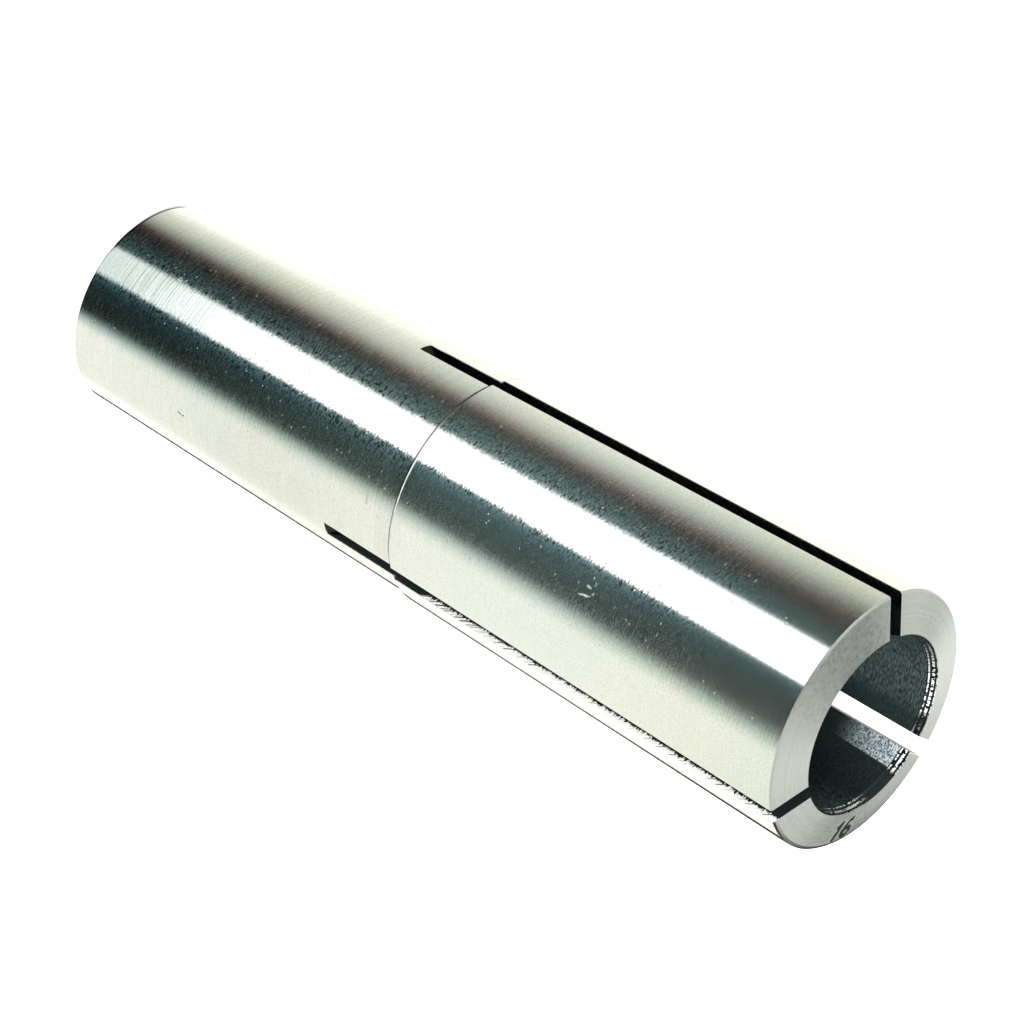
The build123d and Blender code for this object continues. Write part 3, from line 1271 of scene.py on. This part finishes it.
# Painted shade on part of the foot and part of the rim
foot_shade = round_collet(tree, angle, [(-168, 0.0), (-160, 1.0), (-118, 1.0), (-110, 0.0)])
rim_shade = round_collet(tree, angle, [(-34, 0.0), (-28, 1.0), (84, 1.0), (90, 0.0)])
in_edge_shade = mixed(tree, rim_shade, foot_shade, sum_of(tree, "LESS_THAN", height, step_height))
unshaded_edge = remap(tree, in_edge_shade, 0.0, 1.0, 1.0, 0.06)
filed = blend(tree, (0.62, 0.64, 0.62), (0.84, 0.85, 0.82), wear)
feed(tree, shader["Base Color"], scaled(tree, filed, unshaded_edge))
feed(tree, shader["Roughness"], remap(tree, wear, 0.3, 0.7, 0.24, 0.34))
give_finish(edges)

# %% [markdown]
# ## The lead-in
#
# The countersink chattered as it cut the lead-in. What shows is two bright rings, broken by dark dashes, in
# some arcs only: painted highlights, bright at the angles where the rings catch the light. The chatter could
# be cut as a hundred small facets, but at this size it is only a flicker of light and dark. So the rings are
# a ramp over the height, and noise takes bites out of them.

# %% Chatter rings, painted as highlights
RINGS = [(0.08, 0.0), (0.13, 0.9), (0.22, 0.9), (0.27, 0.0), (0.42, 0.0), (0.47, 1.0), (0.68, 1.0),
         (0.73, 0.0), (0.88, 0.0), (0.92, 0.55)]
HIGHLIGHT_ARCS = [(-180, 0.1), (-170, 0.0), (0, 0.0), (10, 0.9), (38, 1.0), (46, 0.0), (68, 0.0), (70, 1.0),
               (86, 1.0), (105, 0.0), (111, 1.0), (135, 0.9), (156, 0.5), (170, 0.2), (180, 0.0)]

chattered, tree, shader = steel_material("lead_in")
rings = grey_ramp(tree, remap(tree, height_up(tree), grip_top_height, total_length, 0.0, 1.0), RINGS)
chatter = grain(tree, (5200, 5200, 2400), detail=1.0, seed=6.0)
broken = less(tree, rings, remap(tree, chatter, 0.52, 0.58, 0.0, 1.0))
highlight_arc = round_collet(tree, angle_round(tree), HIGHLIGHT_ARCS)
painted_highlight = times(tree, remap(tree, broken, 0.3, 0.6, 0.0, 1.0), highlight_arc)
feed(tree, shader["Base Color"], blend(tree, (0.05, 0.065, 0.065), (0.80, 0.81, 0.79), painted_highlight))
feed(tree, shader["Metallic"], remap(tree, painted_highlight, 0.0, 1.0, 1.0, 0.0))
feed(tree, shader["Roughness"], remap(tree, chatter, 0.3, 0.7, 0.25, 0.4))
give_finish(chattered)

# %% [markdown]
# ## The wheel's groove
#
# The wheel's corner left a narrow groove behind the step. The mesh has the groove, but it is so shallow that
# its walls throw no shadow, so the material paints its bottom black as painted shade, paler at the angles
# where painted light reaches in. The specular tint is low, so that the outline doesn't glow.

# %% Painted shade in the groove
GROOVE_LIGHT = [(-154, 1.0), (-148, 0.35), (-126, 0.35), (-116, 0.4), (-96, 0.4), (-88, 0.0), (-74, 0.0),
                (-66, 1.0), (-22, 1.0), (-17, 0.0), (10, 0.0), (30, 0.6)]

groove, tree, shader = steel_material("step_groove")
shader["Specular Tint"].default_value = (0.05, 0.05, 0.05, 1)
grime = grain(tree, (1200, 1200, 1200), detail=2.0, seed=11.0)
groove_lit = round_collet(tree, angle_round(tree), GROOVE_LIGHT)
feed(tree, shader["Base Color"], blend(tree, (0.05, 0.045, 0.045), (0.62, 0.63, 0.60), groove_lit))
feed(tree, shader["Roughness"], remap(tree, grime, 0.3, 0.7, 0.3, 0.5))
give_finish(groove)

# %% [markdown]
# ## The stoned bevel
#
# The small bevel of the step was dulled by hand with a stone. It scatters light, so it stays grey where its
# neighbours mirror, and the step shows as a thin line. A rougher metal would still mirror the floor, so
# this finish is only a quarter metal. Its colour is painted light and shade: lighter and darker by the angle
# round the collet.

# %% Painted light and shade on the bevel
BEVEL_LIGHT = [(-152, 1.0), (-146, 0.55), (-134, 0.18), (-116, 0.15), (-110.5, 0.3), (-108.5, 1.0), (-96, 1.0),
           (-88, 0.75), (-72, 0.75), (-64, 0.5), (-22, 0.6), (-17, 0.1), (10, 0.1), (30, 0.9)]

stoned, tree, shader = steel_material("stoned_bevel", metallic=0.25)
shader["Specular Tint"].default_value = (0.3, 0.3, 0.3, 1)
grime = grain(tree, (1500, 1500, 1500), detail=2.0, seed=12.0)
uneven = remap(tree, grime, 0.35, 0.65, 0.7, 1.3)
painted_bevel_light = times(tree, round_collet(tree, angle_round(tree), BEVEL_LIGHT), uneven)
feed(tree, shader["Base Color"], blend(tree, (0.0, 0.0, 0.0), (0.80, 0.82, 0.78), painted_bevel_light))
feed(tree, shader["Roughness"], remap(tree, grime, 0.3, 0.7, 0.4, 0.6))
give_finish(stoned)

# %% [markdown]
# ## The engraved strokes
#
# The strokes are painted near black, a little mottled. They could be left in the finish of the face, since
# they are cut in the mesh, but clean strokes would mirror the room and hardly show. This finish has no metal
# in it and next to no shine.

# %% Near-black strokes
engraved, tree, shader = steel_material("engraved_strokes", metallic=0.0)
shader["Specular IOR Level"].default_value = 0.1
stroke_noise = grain(tree, (3000, 3000, 3000), detail=2.0, seed=13.0)
stroke_mottle = remap(tree, stroke_noise, 0.35, 0.65, 0.0, 1.0)
feed(tree, shader["Base Color"], blend(tree, (0.004, 0.006, 0.006), (0.03, 0.036, 0.034), stroke_mottle))
feed(tree, shader["Roughness"], remap(tree, stroke_noise, 0.3, 0.7, 0.5, 0.7))
give_finish(engraved)

# %% [markdown]
# ## Camera
#
# The collet stands on its small end here, but in the picture it lies across from top left to bottom right.
# It could be laid down for that, but then it would leave the measured model. So the camera is turned
# instead: it looks down at 32 degrees from a little over 40 cm, rolled by 120 degrees.

# %% Set up the camera
EYE_AZIMUTH, EYE_ELEVATION = radians(-92.42), radians(32.334)
EYE_DISTANCE = 420.95
CAMERA_ROLL = radians(120.276)
LENS, SENSOR = 170.02, 36
AIM_RIGHT, AIM_DOWN = 2.046, 1.003

towards_eye = Vector((cos(EYE_AZIMUTH) * cos(EYE_ELEVATION), sin(EYE_AZIMUTH) * cos(EYE_ELEVATION),
                      sin(EYE_ELEVATION)))
middle = Vector((0, 0, rim_height / 2))
eye = middle + towards_eye * EYE_DISTANCE
level = towards_eye.cross(Vector((0, 0, -1))).normalized()
upright = towards_eye.cross(level)
right = level * cos(CAMERA_ROLL) + upright * sin(CAMERA_ROLL)
down = level * sin(CAMERA_ROLL) - upright * cos(CAMERA_ROLL)

look_back = (eye - (middle + right * AIM_RIGHT + down * AIM_DOWN)).normalized()
right = (right - look_back * right.dot(look_back)).normalized()
camera_data = bpy.data.cameras.new("camera")
camera_data.lens = LENS
camera_data.sensor_width = SENSOR
camera_data.clip_start, camera_data.clip_end = 0.01, 20
camera = bpy.data.objects.new("camera", camera_data)
turn = Matrix((right, look_back.cross(right), look_back)).transposed().to_4x4()
camera.matrix_world = Matrix.Translation(eye * MM) @ turn
bpy.context.scene.collection.objects.link(camera)
bpy.context.scene.camera = camera
print("camera at", [round(v, 4) for v in camera.matrix_world.translation])

# %% [markdown]
# ## Cards for the metal to mirror
#
# Bright metal has no look of its own: it shows what is round it. On a plain white floor it would be white
# all over, so a photographer lays black and white cards where the metal mirrors them. The outside of the
# collet mirrors the floor in front of it. Cards could be moved about until they look right, but the
# mirrored ray of sight says at once where each point of the outside finds the floor, so they are laid along
# those places.

# %% Where the outside mirrors the floor
CARD_LIFT = 0.2


def mirrored_on_floor(angle, height):
    """The place just above the floor that the camera sees in the outside, by angle from the near side."""
    azimuth = EYE_AZIMUTH + angle
    flare = TAPER_PER_MM / 2
    surface = polar(outside_radius(min(height, rim_height)), azimuth, height)
    normal = Vector((cos(azimuth), sin(azimuth), -flare)).normalized()
    sight = (eye - surface).normalized()
    mirrored = normal * (2 * normal.dot(sight)) - sight
    return surface + mirrored * ((CARD_LIFT - height) / mirrored.z)


print("mid-height mirrors the floor at", [round(v, 1) for v in mirrored_on_floor(0, rim_height / 2)])

# %% [markdown]
# ## Colours of the cards
#
# Two dark cards lie beside each other with a bright gap between them, and pale board lies beyond. They
# could be separate sheets, but their edges are soft in the metal, so they are one sheet that glows in
# bands. Each point of the sheet knows the angle and height at which it shows. The bands follow the angle,
# and how dark and how sharp they are changes with the height, because metal that is farther from the floor
# mirrors a wider stretch of it.

# %% Bands of the cards
PALE, GLARE = (0.955, 0.965, 0.895), (1.1, 1.1, 1.04)
BANDS = [
    (-64, (1.1, 1.1, 1.02)), (-52, (0.86, 0.865, 0.77)), (-45, (0.70, 0.72, 0.645)),
    (-39, (0.44, 0.45, 0.42)), (-35.5, (0.23, 0.18, 0.16)), (-31, (0.062, 0.062, 0.06)),
    (-26, (0.10, 0.148, 0.142)), (-18, (0.195, 0.305, 0.30)), (1.5, (0.185, 0.295, 0.31)),
    (6, (0.108, 0.172, 0.168)), (15, (0.072, 0.105, 0.098)), (20.2, (0.085, 0.13, 0.12)),
    (25.3, (0.63, 0.71, 0.66)), (30, PALE), (62, PALE), (70, GLARE), (76.8, GLARE),
    (79.6, (0.12, 0.13, 0.13)), (90, (0.08, 0.085, 0.085)),
]


def glowing_material(name):
    """A material that only glows, its tree, and its glow."""
    material = bpy.data.materials.new(name)
    material.use_nodes = True
    tree = material.node_tree
    tree.nodes.clear()
    glow = add_node(tree, "Emission")
    add_node(tree, "OutputMaterial", Surface=glow.outputs[0])
    return material, tree, glow


card_bands, tree, glow = glowing_material("card_bands")
angle = add_node(tree, "Attribute", {"attribute_name": "shown_at"}).outputs["Fac"]
height = add_node(tree, "Attribute", {"attribute_name": "shown_height"}).outputs["Fac"]
across = remap(tree, angle, -90, 90, 0.0, 1.0)
tone = ramp(tree, across, [((degrees + 90) / 180, colour) for degrees, colour in BANDS])
print("bands:", len(BANDS))

# %% Depth and level of the bands up the collet
DEPTHS = [(0.0, 0.97), (0.05, 0.96), (0.15, 0.96), (0.25, 0.80), (0.37, 0.66), (0.45, 0.60), (0.55, 0.52),
          (0.65, 0.59), (0.75, 0.90), (0.85, 1.25)]
LEVELS = [(0.0, 0.90, 1.06), (0.08, 0.90, 1.06), (0.15, 0.86, 1.04), (0.24, 0.80, 1.0), (0.38, 0.82, 1.0),
          (0.43, 0.91, 1.0), (0.55, 0.91, 1.0), (0.65, 0.94, 1.0), (0.75, 0.87, 1.0), (0.84, 0.81, 1.0)]

way_up = remap(tree, height, 0, 100, 0.0, 1.0)
depth = times(tree, grey_ramp(tree, way_up, DEPTHS), 2.0)
card_level = ramp(tree, way_up, [(share, (grey, grey, grey * blue)) for share, grey, blue in LEVELS])
deepened = add_node(tree, "Gamma", Color=tone, Gamma=depth).outputs["Color"]
dark_cards = scaled(tree, vector_of(tree, "MULTIPLY", deepened, card_level), 1.25)
print("nodes for the dark cards:", len(tree.nodes))

# %% The bright gap between the cards
GAP_START = 17.0
gap_blur = remap(tree, height, 2, 30, 1.6, 0.25)
into_gap = sum_of(tree, "DIVIDE", plus(tree, angle, GAP_START), gap_blur)
gap_end = remap(tree, height, 10, 60, -0.1, 0.25)
out_of_gap = sum_of(tree, "DIVIDE", less(tree, angle, gap_end), gap_blur)
past_start = remap(tree, into_gap, -1, 1, 0.0, 1.0, smooth=True)
before_end = remap(tree, out_of_gap, -1, 1, 1.0, 0.0, smooth=True)
gap_light = blend(tree, (0.84, 0.95, 0.93), (1.9, 1.9, 1.9), remap(tree, height, 2, 34, 0.0, 1.0))
feed(tree, glow.inputs["Color"], blend(tree, dark_cards, gap_light, times(tree, past_start, before_end)))
card_bands.cycles.emission_sampling = "NONE"
print("nodes of the cards:", len(tree.nodes))

# %% [markdown]
# ## Laying the cards
#
# A card on a real floor would be a flat sheet of board. This one is a grid of faces a fifth of a millimetre
# over the floor, because its corners have to lie where the metal mirrors them, and each corner carries the
# angle and height at which it shows. Only mirrored rays see it: it gives no light and no shadow, and the
# camera looks through it at the plain floor.

# %% Corners of the sheet
CARD_TURN = 88


def card_point(angle, height):
    """A corner of the sheet. Past the rim, the sheet runs straight on from where the metal last mirrors it.

    The outline of the collet is seen so flatly that it mirrors past its own last angle, so there the sheet
    turns on round the collet.
    """
    if angle > CARD_TURN:
        return Matrix.Rotation(radians(2 * (angle - CARD_TURN)), 3, "Z") @ card_point(CARD_TURN, height)
    if height <= rim_height:
        return mirrored_on_floor(radians(angle), height)
    last = mirrored_on_floor(radians(angle), rim_height)
    return last + (last - mirrored_on_floor(radians(angle), rim_height / 2)) * (height / rim_height - 1)


print("a corner lies at", [round(v, 1) for v in card_point(0, 10)])

# %% Rows of the sheet
CARD_SPAN = range(-84, 96)
CARD_HEIGHTS = [0.22, 0.5, 2, 4, 7, 11, 16, 22, 30, 40, 50, 60, 70, rim_height]
CARD_TAIL = 8

sheet = bmesh.new()
angle_layer = sheet.verts.layers.float.new("shown_at")
height_layer = sheet.verts.layers.float.new("shown_height")


def card_row(height):
    """Corners of the sheet for one height of the metal, each marked with where it shows."""
    row = []
    for angle in CARD_SPAN:
        corner = sheet.verts.new(card_point(angle, height) * MM)
        corner[angle_layer] = angle
        corner[height_layer] = height
        row.append(corner)
    return row


join_rows(sheet, [card_row(height) for height in [*CARD_HEIGHTS, CARD_TAIL * rim_height]])
print("faces of the sheet:", len(sheet.faces))

# %% Lay the sheet of cards


def stage_object(name, sheet, material):
    """An object from a sheet of faces and a material."""
    mesh = bpy.data.meshes.new(name)
    sheet.to_mesh(mesh)
    sheet.free()
    mesh.materials.append(material)
    piece = bpy.data.objects.new(name, mesh)
    bpy.context.scene.collection.objects.link(piece)
    print(name, "measures", [round(v, 3) for v in piece.dimensions])
    return piece


def show_in_mirrors_only(piece):
    """Hides an object from the camera, and from the light that falls on the floor."""
    piece.visible_camera = False
    piece.visible_diffuse = False
    piece.visible_shadow = False


cards = stage_object("cards", sheet, card_bands)
show_in_mirrors_only(cards)

# %% [markdown]
# ## A painted shadow under the small end
#
# The chamfer of the small end mirrors the floor right under it, where the collet keeps the light off and
# the real floor is black. The cards don't reach in there. A dark ring laid round the foot does the same,
# and as only mirrored rays see it, it leaves no mark on the floor itself.

# %% A ring of painted shadow round the foot
FOOT_SHADOW_RADII = (8.8, 9.85)
FOOT_SHADOW_LIFT = 0.05
FOOT_SHADOW_STEPS = 96

# Painted shadow: a dark glowing ring that only mirrored rays see
washer_black, tree, glow = glowing_material("washer_black")
glow.inputs["Color"].default_value = (0.01, 0.012, 0.012, 1)
ring = bmesh.new()
foot_shadow_rows = []
for radius in FOOT_SHADOW_RADII:
    turns = [2 * pi * k / FOOT_SHADOW_STEPS for k in range(FOOT_SHADOW_STEPS)]
    foot_shadow_rows.append([ring.verts.new(polar(radius, turn, FOOT_SHADOW_LIFT) * MM) for turn in turns])
join_rows(ring, foot_shadow_rows, closed=True)
washer = stage_object("washer", ring, washer_black)
show_in_mirrors_only(washer)

# %% [markdown]
# ## Floor
#
# The floor is a wide sheet of pale board, so bright that the picture shows it as plain white. More lamps
# would make it white too, but they would wash out the steel. So the floor glows a little, only for rays
# that come from the camera or from a mirror, and the collet's shadow still falls on it.

# %% A pale floor
FLOOR_HALF = 3.0
FLOOR_GLOW = 0.66

pale_floor = bpy.data.materials.new("pale_floor")
pale_floor.use_nodes = True
tree = pale_floor.node_tree
tree.nodes.clear()
board = add_node(tree, "BsdfDiffuse", Color=(0.88, 0.88, 0.87, 1))
path = add_node(tree, "LightPath").outputs
seen = sum_of(tree, "MAXIMUM", path["Is Camera Ray"], path["Is Glossy Ray"])
seen = sum_of(tree, "MAXIMUM", seen, path["Is Transmission Ray"])
glow = add_node(tree, "Emission", Strength=times(tree, seen, FLOOR_GLOW))
both = add_node(tree, "AddShader")
feed(tree, both.inputs[0], board.outputs[0])
feed(tree, both.inputs[1], glow.outputs[0])
add_node(tree, "OutputMaterial", Surface=both.outputs[0])
pale_floor.cycles.emission_sampling = "NONE"

ground_plan = bmesh.new()
ends = (-FLOOR_HALF, FLOOR_HALF)
join_rows(ground_plan, [[ground_plan.verts.new((x, y, 0)) for x in ends] for y in ends])
floor = stage_object("floor", ground_plan, pale_floor)

# %% [markdown]
# ## The room
#
# The sky of the scene is the room. The camera sees it white and it lights the collet softly, but the metal
# has to mirror a room that isn't the same all round: a window here, a dark wall there. A picture of a room
# would be the usual way. A few soft patches do as well, each a direction with a width and a change of
# brightness, and they can be moved one at a time until the face and the bore look right.

# %% Patches of the room
world = bpy.data.worlds.new("studio")
bpy.context.scene.world = world
world.use_nodes = True
sky = world.node_tree
sky.nodes.clear()
ROOM = [(-0.18, 0.80, 18, -0.88), (0.07, 0.866, 10, -0.42), (-0.09, 0.13, 14, 0.8), (0.13, 0.2, 15, -0.62),
        (-0.20, 0.34, 14, -0.26), (0.24, 0.45, 22, -0.1), (0.22, 0.76, 11, 0.28)]


def facing(direction):
    """How nearly a ray looks along a direction: 1 along it, 0 square to it."""
    return vector_of(sky, "DOT_PRODUCT", add_node(sky, "TexCoord").outputs["Generated"], direction)


def patch_of_room(sideways, up, width, change):
    """A soft patch of the room behind the collet: 1 away from it, 1 + change in its middle."""
    aim = Vector((-towards_eye.x, -towards_eye.y, 0)).normalized() * sqrt(1 - sideways**2 - up**2)
    aim += Vector((towards_eye.y, -towards_eye.x, 0)).normalized() * -sideways + Vector((0, 0, up))
    return remap(sky, facing(aim), cos(radians(width)), 1.0, 1.0, 1.0 + change, smooth=True)


room_light = 1.0
for patch in ROOM:
    room_light = times(sky, room_light, patch_of_room(*patch))
behind_camera = facing(Vector((towards_eye.x, towards_eye.y, 0.25)).normalized())
shaded = remap(sky, behind_camera, cos(radians(42)), cos(radians(15)), 1.0, 0.12, smooth=True)
room_light = times(sky, room_light, shaded)
print("patches of the room:", len(ROOM))

# %% What the camera, the metal and the floor see
white = add_node(sky, "Background", Color=(1, 1, 1, 1), Strength=1.0)
mirrored = add_node(sky, "Background", Color=(0.70, 0.715, 0.69, 1), Strength=room_light)
ambient = add_node(sky, "Background", Color=(1, 1, 1, 1), Strength=0.4)
path = add_node(sky, "LightPath").outputs


def either(share, first, second):
    """One shader of the sky or the other."""
    node = add_node(sky, "MixShader", Fac=share)
    feed(sky, node.inputs[1], first)
    feed(sky, node.inputs[2], second)
    return node.outputs[0]


for_metal = either(path["Is Glossy Ray"], ambient.outputs[0], mirrored.outputs[0])
for_camera = either(path["Is Camera Ray"], for_metal, white.outputs[0])
add_node(sky, "OutputWorld", Surface=for_camera)
print("nodes of the sky:", len(sky.nodes))

# %% [markdown]
# ## The lamp
#
# One large round soft box lights the collet from beside the camera, and from higher up. A small lamp would
# draw a hard shadow, and a soft box that the metal mirrors would show as a disc in it. So it is nearly as
# wide as it is far away, and mirrored rays don't see it.

# %% Hang the soft box
LAMP_PLACE = Vector((0.50, -0.75, 0.75))
LAMP_AIM = Vector((0, 0, 0.04))

lamp_data = bpy.data.lights.new("key", "AREA")
lamp_data.shape = "DISK"
lamp_data.size = 0.9
lamp_data.energy = 27.0
lamp = bpy.data.objects.new("key", lamp_data)
lamp.location = LAMP_PLACE
lamp.rotation_euler = (LAMP_PLACE - LAMP_AIM).to_track_quat("Z", "Y").to_euler()
lamp.visible_glossy = False
bpy.context.scene.collection.objects.link(lamp)
bpy.context.scene.view_settings.view_transform = "Standard"
print("lamp at", [round(v, 2) for v in lamp.location], "of", lamp_data.energy, "W")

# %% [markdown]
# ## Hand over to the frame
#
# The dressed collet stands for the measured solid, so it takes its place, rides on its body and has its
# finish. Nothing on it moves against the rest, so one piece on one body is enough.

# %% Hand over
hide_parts("collet_body")
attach(collet, "root")
